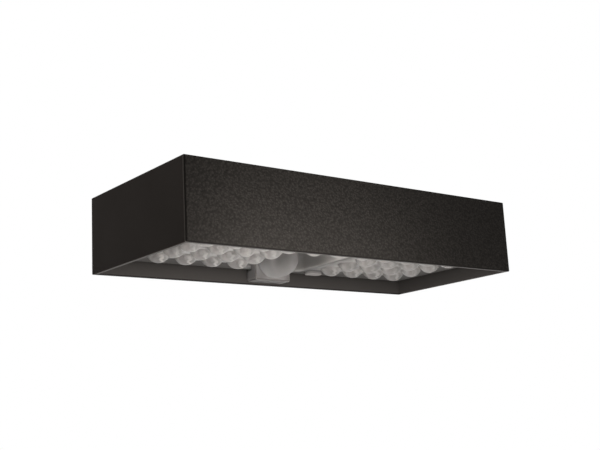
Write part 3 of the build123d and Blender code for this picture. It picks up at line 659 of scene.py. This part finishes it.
def silicon(look):
    """Solar cells: dark silicon under fine printed lines."""
    finish = Finish("silicon", specular=0.2, coat_roughness=0.1, coat=0.5)
    x = finish.axes()[0]
    cloud = finish.noise(40 * MM, detail=4.0)
    speck = finish.grains(2 * MM, 0.0)
    line = abs(x.repeat(look.finger_pitch)).fall(look.finger_width / 2, look.finger_width)
    uneven = cloud * 0.6 + speck * 0.3
    tone = finish.blend(uneven, shade(look.cell_colour, 0.7), shade(look.cell_colour, 1.5))
    tone = finish.blend(line, tone, look.finger_colour)
    finish.set(colour=tone, roughness=0.3 + line * 0.2 + cloud * 0.1)
    return finish


def tinned_metal(look):
    """Soft bright tin with a dull drag along it."""
    finish = Finish("tinned_metal", metallic=1.0)
    drag = finish.noise(0.5 * MM, detail=3.0, place=finish.stretched((0.05, 1.0, 1.0)))
    tone = finish.blend(drag, shade(look.tin, 0.85), look.tin)
    finish.set(colour=tone, roughness=0.28 + drag * 0.2)
    finish.set(normal=finish.bump(drag, 0.02 * MM))
    return finish


def plain_plastic(name, colour, roughness):
    """Moulded plastic with a fine even texture."""
    finish = Finish(name, specular=0.3)
    cloud = finish.noise(6 * MM, detail=3.0)
    fine = finish.noise(0.25 * MM)
    tone = finish.blend(cloud, shade(colour, 0.88), shade(colour, 1.1))
    finish.set(colour=tone, roughness=roughness + cloud * 0.15)
    finish.set(normal=finish.bump(fine, 0.03 * MM))
    return finish


def solder_mask(name, colour, track_colour):
    """Circuit board: lacquer over tracks that stand out a little."""
    finish = Finish(name, coat_roughness=0.2, coat=0.4)
    x, y = finish.axes()[:2]
    cloud = finish.noise(7 * MM, detail=1.0)
    track = abs((x + y * 0.4 + cloud * 6 * MM).repeat(2.4 * MM)).fall(0.3 * MM, 0.5 * MM)
    track = track * cloud.step(0.48, 0.52)
    finish.set(colour=finish.blend(track, colour, track_colour), roughness=0.32 + cloud * 0.15)
    finish.set(normal=finish.bump(track, 0.05 * MM))
    return finish


def phosphor(look):
    """Light chips: slightly uneven yellow."""
    finish = Finish("phosphor", subsurface=0.2, subsurface_scale=0.5 * MM)
    cloud = finish.noise(1.2 * MM)
    tone = finish.blend(cloud, look.phosphor, look.pale_phosphor)
    finish.set(colour=tone, roughness=0.35 + cloud * 0.2)
    return finish


def shrink_wrap(look, steel):
    """Battery cell: blue wrap with bare steel at the ends."""
    low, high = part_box("battery_cell")
    middle = (low.x + high.x) / 2
    half = (high.x - low.x) / 2
    finish = Finish("shrink_wrap", coat_roughness=0.15)
    x = finish.axes()[0]
    bare = abs(x - middle).step(half - 1.4 * MM, half - 1.2 * MM)
    cloud = finish.noise(6 * MM, detail=3.0)
    wrap = finish.blend(cloud, look.wrap, look.pale_wrap)
    finish.set(colour=finish.blend(bare, wrap, steel), metallic=bare, roughness=0.28 + cloud * 0.15)
    finish.set(coat=0.5 - bare * 0.5, normal=finish.bump(cloud, 0.08 * MM))
    return finish


def banded(name, node, shares, colours, metallic):
    """A small upright part with a band between two shares of its height.

    The colours and how metallic they are belong to the band and then to the ends.
    """
    low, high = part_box(node)
    start, stop = (low.z + (high.z - low.z) * share for share in shares)
    band, ends = colours
    edge = 0.15 * MM
    finish = Finish(name)
    z = finish.axes()[2]
    middle = z.step(start - edge, start + edge) * z.fall(stop - edge, stop + edge)
    cloud = finish.noise(2 * MM, detail=3.0)
    turns = (z * (2 * math.pi / (0.5 * MM))).wave() * 0.5 + 0.5
    tone = finish.blend(middle * (0.75 + cloud * 0.25), ends, band)
    finish.set(colour=tone, roughness=0.35 + cloud * 0.2)
    finish.set(metallic=middle * metallic[0] + (1 - middle) * metallic[1])
    finish.set(normal=finish.bump(turns * middle + cloud * 0.3, 0.05 * MM))
    return finish


def detector_can(can_colour, window_colour):
    """Motion detector: drawn metal with a dark window in its face."""
    low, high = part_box("pyro_sensor")
    centre = (low + high) / 2
    half_width = 2.0 * MM
    half_height = 1.5 * MM
    edge = 0.15 * MM
    finish = Finish("detector_can")
    x, y, z = finish.axes()
    inside = abs(x - centre.x).fall(half_width, half_width + edge)
    inside = inside * abs(z - centre.z).fall(half_height, half_height + edge)
    window = inside * y.fall(low.y + 0.2 * MM, low.y + 0.4 * MM)
    drag = finish.noise(0.4 * MM, detail=3.0, place=finish.stretched((1.0, 0.1, 1.0)))
    finish.set(colour=finish.blend(window, can_colour, window_colour))
    finish.set(metallic=1 - window, roughness=0.25 + drag * 0.15 - window * 0.1)
    finish.set(normal=finish.bump(drag, 0.02 * MM))
    return finish


Screw = namedtuple("Screw", "top direction head_radius head_height shank_radius length")


def separate_solids(node):
    """The corners of each separate solid of a CAD piece."""
    mesh = bmesh.new()
    mesh.from_mesh(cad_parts[node].data)
    bmesh.ops.remove_doubles(mesh, verts=mesh.verts, dist=0.001 * MM)
    left = set(mesh.verts)
    solids = []
    while left:
        reached = [left.pop()]
        for vert in reached:
            near = {edge.other_vert(vert) for edge in vert.link_edges} & left
            left -= near
            reached.extend(near)
        solids.append([vert.co.copy() for vert in reached])
    mesh.free()
    return solids


def measure_screw(points):
    """Place and sizes of a plain screw, from the corners of its solid."""
    low = Vector(min(point[axis] for point in points) for axis in range(3))
    high = Vector(max(point[axis] for point in points) for axis in range(3))
    width = high - low
    axis = min(range(3), key=lambda along: abs(width[along - 1] - width[along - 2]))
    direction = Vector(1.0 if place == axis else 0.0 for place in range(3))
    middle = (low + high) / 2
    rings = []
    for point in points:
        along = (point - middle).dot(direction)
        radius = (point - middle - direction * along).length
        rings.append((along, radius))
    half = width[axis] / 2
    edge = 0.01 * MM
    upper = max(radius for along, radius in rings if along > half - edge)
    lower = max(radius for along, radius in rings if along < edge - half)
    if lower > upper:
        direction.negate()
        rings = [(-along, radius) for along, radius in rings]
    head_radius = max(radius for along, radius in rings)
    seat = min(along for along, radius in rings if radius > head_radius - edge)
    return Screw(
        top=middle + direction * half,
        direction=direction,
        head_radius=head_radius,
        head_height=half - seat,
        shank_radius=min(upper, lower),
        length=half + seat,
    )


def screw_head(mesh, flat, depth, share):
    """Round top of a screw at the origin, looking along +Z, with a cross sunk in it.

    Returns the edges of its outer ring.
    """
    narrow = share * 0.26
    lines = [-1.0, -share, -narrow, narrow, share, 1.0]
    last = len(lines) - 1
    bmesh.ops.create_grid(mesh, x_segments=last, y_segments=last, size=1.0)
    for vert in mesh.verts:
        column = round((vert.co.x + 1) / 2 * last)
        row = round((vert.co.y + 1) / 2 * last)
        place = Vector((lines[column], lines[row], 0.0))
        on_rim = column in (0, last) or row in (0, last)
        vert.co = (place.normalized() if on_rim else place) * flat
    cross = []
    for face in mesh.faces:
        near, far = sorted(abs(part) for part in face.calc_center_median().xy)
        if near < narrow * flat / 2 and far < share * flat:
            cross.append(face)
    rim = [edge for edge in mesh.edges if edge.is_boundary]
    slope = narrow * flat / 4
    bmesh.ops.inset_region(mesh, faces=cross, thickness=slope, depth=-depth, use_boundary=True)
    return rim


def screw_mesh(screw, share):
    """One whole screw with a domed, cross-recessed head and a pointed shank."""
    mesh = bmesh.new()
    loop = screw_head(mesh, screw.head_radius * 0.75, screw.head_height * 0.6, share)
    end = -screw.head_height - screw.length
    rings = [
        (screw.head_radius * 0.92, -screw.head_height * 0.15),
        (screw.head_radius, -screw.head_height * 0.45),
        (screw.head_radius, -screw.head_height),
        (screw.shank_radius, -screw.head_height),
        (screw.shank_radius, end + screw.shank_radius),
        (screw.shank_radius * 0.4, end),
    ]
    for radius, height in rings:
        grown = bmesh.ops.extrude_edge_only(mesh, edges=loop)["geom"]
        loop = [item for item in grown if isinstance(item, bmesh.types.BMEdge)]
        for vert in {vert for edge in loop for vert in edge.verts}:
            outward = Vector((vert.co.x, vert.co.y, 0.0)).normalized()
            vert.co = outward * radius + Vector((0.0, 0.0, height))
    bmesh.ops.holes_fill(mesh, edges=loop, sides=0)
    bmesh.ops.recalc_face_normals(mesh, faces=mesh.faces)
    turn = Vector((0.0, 0.0, 1.0)).rotation_difference(screw.direction).to_matrix().to_4x4()
    bmesh.ops.transform(mesh, matrix=Matrix.Translation(screw.top) @ turn, verts=mesh.verts)
    return mesh


def add_mesh(target, source):
    """Moves one mesh into another."""
    data = bpy.data.meshes.new("moved")
    source.to_mesh(data)
    source.free()
    target.from_mesh(data)
    bpy.data.meshes.remove(data)


def new_object(name, mesh, finish):
    """Turns a finished mesh into an object of the scene."""
    data = bpy.data.meshes.new(name)
    mesh.to_mesh(data)
    mesh.free()
    data.materials.append(finish.material)
    made = bpy.data.objects.new(name, data)
    bpy.context.scene.collection.objects.link(made)
    return made


class DressBody(bpy.types.Operator):
    """Gives the moulded box and its tray their black finish"""

    bl_idname = "wall_light.dress_body"
    bl_label = "Body and tray"

    def execute(self, context):
        look = look_of(context).body
        dress(grained_plastic(look), "housing")
        dress(plain_plastic("tray_plastic", look.tray_colour, 0.4), "light_tray")
        return {"FINISHED"}


class DressLens(bpy.types.Operator):
    """Gives the lens plate, the sensor cap and the button their milky finishes"""

    bl_idname = "wall_light.dress_lens"
    bl_label = "Lens, sensor cap and button"

    def execute(self, context):
        look = look_of(context).lens
        dress(milky_lens(look), "lens_plate")
        dress(milky_cap(look), "sensor_cap")
        dress(silicone("button_silicone", look.button_colour), "mode_button")
        return {"FINISHED"}


class DressPanel(bpy.types.Operator):
    """Gives the solar panel its glass, cells, ribbons and backsheet"""

    bl_idname = "wall_light.dress_panel"
    bl_label = "Solar panel"

    def execute(self, context):
        look = look_of(context)
        dress(clear_glass(look.panel), "panel_glass")
        dress(silicon(look.panel), "solar_cells")
        dress(tinned_metal(look.metal), "cell_ribbons", "battery_contacts")
        dress(plain_plastic("backsheet", look.panel.backsheet, 0.5), "panel_backsheet")
        return {"FINISHED"}


class DressBracket(bpy.types.Operator):
    """Gives the wall bracket its zinc plating"""

    bl_idname = "wall_light.dress_bracket"
    bl_label = "Wall bracket"

    def execute(self, context):
        look = look_of(context).metal
        dress(plated_steel("zinc_plate", look.zinc, (0.04, 1.0, 1.0)), "wall_bracket")
        return {"FINISHED"}


class DressBoards(bpy.types.Operator):
    """Gives the circuit boards and the parts on them their finishes"""

    bl_idname = "wall_light.dress_boards"
    bl_label = "Circuit boards"

    def execute(self, context):
        look = look_of(context).inside
        metal = look_of(context).metal
        green = solder_mask("green_mask", look.green_mask, look.green_track)
        coil = banded("wound_coil", "power_coil", (0.2, 0.8), (metal.copper, look.black), (1, 0))
        can_colours = (look.sleeve, metal.aluminium)
        can = banded("sleeved_can", "reservoir_capacitor", (0.06, 0.97), can_colours, (0, 1))
        switch = banded("switch_shell", "tact_switch", (0.12, 1.1), (look.black, metal.nickel), (0, 1))
        dress(solder_mask("white_mask", look.white_mask, look.white_track), "led_board")
        dress(green, "sensor_board", "switch_board", "control_board")
        dress(phosphor(look), "leds")
        dress(plain_plastic("black_epoxy", look.epoxy, 0.55), "control_chips")
        dress(plain_plastic("nylon", look.nylon, 0.4), "wire_sockets")
        dress(coil, "power_coil")
        dress(can, "reservoir_capacitor")
        dress(switch, "tact_switch")
        dress(detector_can(metal.drawn_can, look.window), "pyro_sensor")
        return {"FINISHED"}


class DressInside(bpy.types.Operator):
    """Gives the battery, its holder, the seals and the leads their finishes"""

    bl_idname = "wall_light.dress_inside"
    bl_label = "Battery, seals and leads"

    def execute(self, context):
        look = look_of(context).inside
        black = plain_plastic("black_plastic", look.black, 0.45)
        rubber = silicone("foam_rubber", look.rubber)
        red = silicone("red_insulation", look.red_lead)
        white = silicone("white_insulation", look.white_lead)
        dress(shrink_wrap(look, look_of(context).metal.steel), "battery_cell")
        dress(black, "battery_holder", "sensor_back", "switch_plunger")
        dress(rubber, "panel_gasket", "tray_seal", "lens_seal")
        dress(red, "battery_lead", "solar_lead")
        dress(white, "led_lead", "sensor_lead", "switch_lead")
        return {"FINISHED"}


SCREW_NODES = (
    "tray_screws",
    "led_board_screws",
    "sensor_screws",
    "switch_board_screws",
    "battery_holder_screws",
    "control_board_screws",
)


class DriveScrews(bpy.types.Operator):
    """Puts cross-recessed screws in the place of the plain ones"""

    bl_idname = "wall_light.drive_screws"
    bl_label = "Screws"

    def execute(self, context):
        look = look_of(context).metal
        finish = plated_steel("zinc_screws", look.zinc, (1.0, 1.0, 1.0))
        for node in SCREW_NODES:
            screws = bmesh.new()
            for points in separate_solids(node):
                add_mesh(screws, screw_mesh(measure_screw(points), look.recess_share))
            piece = new_object("crossed_" + node, screws, finish)
            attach(piece, "lamp")
            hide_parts(node)
        return {"FINISHED"}


class SetStage(bpy.types.Operator):
    """Makes the floor, the lamps, the white surroundings and the camera"""

    bl_idname = "wall_light.set_stage"
    bl_label = "Studio"

    def execute(self, context):
        look = look_of(context).studio
        make_floor(look)
        make_world(look)
        make_lamps(look)
        make_camera(look)
        context.scene.view_settings.view_transform = "Standard"
        return {"FINISHED"}


def seen(tree):
    """A socket that is 1 where the camera, gloss or glass looks, and 0 for light that spreads."""
    path = tree.nodes.new("ShaderNodeLightPath")
    looked_at = path.outputs["Is Camera Ray"]
    for name in ("Is Glossy Ray", "Is Transmission Ray"):
        either = tree.nodes.new("ShaderNodeMath")
        either.operation = "MAXIMUM"
        tree.links.new(looked_at, either.inputs[0])
        tree.links.new(path.outputs[name], either.inputs[1])
        looked_at = either.outputs[0]
    return looked_at


def make_world(look):
    """Even dim light for the object, and plain white for whatever is seen."""
    world = bpy.data.worlds.new("studio")
    world.use_nodes = True
    tree = world.node_tree
    plain = tree.nodes["Background"]
    plain.inputs["Color"].default_value = (*look.ambient_colour, 1.0)
    plain.inputs["Strength"].default_value = look.ambient
    white = tree.nodes.new("ShaderNodeBackground")
    white.inputs["Color"].default_value = (*WHITE, 1.0)
    white.inputs["Strength"].default_value = 1.0
    mix = tree.nodes.new("ShaderNodeMixShader")
    tree.links.new(seen(tree), mix.inputs["Fac"])
    tree.links.new(plain.outputs[0], mix.inputs[1])
    tree.links.new(white.outputs[0], mix.inputs[2])
    tree.links.new(mix.outputs[0], tree.nodes["World Output"].inputs["Surface"])
    bpy.context.scene.world = world


def make_floor(look):
    """Pale floor under the light, wide enough for its shadow. It glows where it is seen."""
    mesh = bmesh.new()
    bmesh.ops.create_grid(mesh, x_segments=1, y_segments=1, size=look.floor_reach)
    bmesh.ops.translate(mesh, verts=mesh.verts, vec=(0.0, 0.0, cad_box[0].z - look.floor_drop))
    finish = Finish("pale_floor", specular=0.0, roughness=0.8, glow_strength=1.0)
    cloud = finish.noise(0.4, detail=3.0)
    looked_at = Value(finish, seen(finish.tree))
    finish.set(colour=finish.blend(cloud, shade(look.floor_colour, 0.98), look.floor_colour))
    finish.set(glow=finish.blend(looked_at, BLACK, shade(look.floor_colour, look.floor_glow)))
    new_object("floor", mesh, finish)


Lamp = namedtuple("Lamp", "name place target size watts")

LAMPS = (
    Lamp("front_low", (-0.01, -0.165, -0.050), (-0.01, -0.108, -0.015), 0.06, 0.042),
    Lamp("front_left", (-0.08, -0.160, -0.050), (-0.08, -0.108, -0.020), 0.04, 0.044),
    Lamp("under_left", (-0.06, -0.17, -0.27), (0.0, -0.05, 0.0), 0.16, 0.56),
    Lamp("under_right", (0.10, -0.16, -0.26), (0.03, -0.05, 0.0), 0.24, 0.35),
    Lamp("left", (-0.42, -0.10, 0.24), (-0.12, -0.06, 0.0), 0.3, 0.44),
    Lamp("top", (0.0, 0.05, 0.75), (0.0, -0.05, 0.0), 0.6, 2.9),
    Lamp("back", (0.25, 0.75, 0.10), (0.0, 0.0, 0.0), 0.6, 2.9),
)


def make_lamps(look):
    """Small lamps close in front of the rim and below it, and broad ones for the other sides."""
    for lamp in LAMPS:
        light = bpy.data.lights.new(lamp.name, "AREA")
        light.shape = "SQUARE"
        light.size = lamp.size
        light.energy = lamp.watts * look.brightness
        light.color = look.lamp_colour
        aim = Vector(lamp.target) - Vector(lamp.place)
        holder = bpy.data.objects.new(lamp.name, light)
        holder.location = lamp.place
        holder.rotation_euler = aim.to_track_quat("-Z", "Y").to_euler()
        holder.visible_camera = False
        holder.visible_glossy = False
        bpy.context.scene.collection.objects.link(holder)


def make_camera(look):
    """Camera in the photograph's place."""
    data = bpy.data.cameras.new("camera")
    data.lens = look.lens
    data.sensor_width = SENSOR_WIDTH
    camera = bpy.data.objects.new("camera", data)
    turn = Matrix.Rotation(-look.heading, 4, "Z")
    turn = turn @ Matrix.Rotation(math.pi / 2 + look.tilt, 4, "X")
    turn = turn @ Matrix.Rotation(look.roll, 4, "Z")
    camera.matrix_world = Matrix.Translation(look.camera_place) @ turn
    bpy.context.scene.collection.objects.link(camera)
    bpy.context.scene.camera = camera


OPERATORS = (
    DressBody,
    DressLens,
    DressPanel,
    DressBracket,
    DressBoards,
    DressInside,
    DriveScrews,
    SetStage,
)
LOOKS = (BodyLook, LensLook, PanelLook, MetalLook, InsideLook, StudioLook, WallLight)


class WallLightPanel(bpy.types.Panel):
    """Sidebar list of the steps and the settings"""

    bl_idname = "VIEW3D_PT_wall_light"
    bl_label = "Solar Wall Light"
    bl_space_type = "VIEW_3D"
    bl_region_type = "UI"
    bl_category = "Wall Light"

    def draw(self, context):
        for operator in OPERATORS:
            self.layout.operator(operator.bl_idname)
        for group in WallLight.__annotations__:
            look = getattr(look_of(context), group)
            box = self.layout.box()
            box.label(text=group.capitalize())
            for name in type(look).__annotations__:
                box.prop(look, name)


def register():
    for item in (*LOOKS, *OPERATORS, WallLightPanel):
        bpy.utils.register_class(item)
    bpy.types.Scene.wall_light = PointerProperty(type=WallLight)


def unregister():
    del bpy.types.Scene.wall_light
    for item in reversed((*LOOKS, *OPERATORS, WallLightPanel)):
        bpy.utils.unregister_class(item)


def main():
    """Registers the add-on and runs its steps in order."""
    register()
    bpy.ops.wall_light.dress_body()
    bpy.ops.wall_light.dress_lens()
    bpy.ops.wall_light.dress_panel()
    bpy.ops.wall_light.dress_bracket()
    bpy.ops.wall_light.dress_boards()
    bpy.ops.wall_light.dress_inside()
    bpy.ops.wall_light.drive_screws()
    bpy.ops.wall_light.set_stage()


if __name__ == "__main__":
    main()
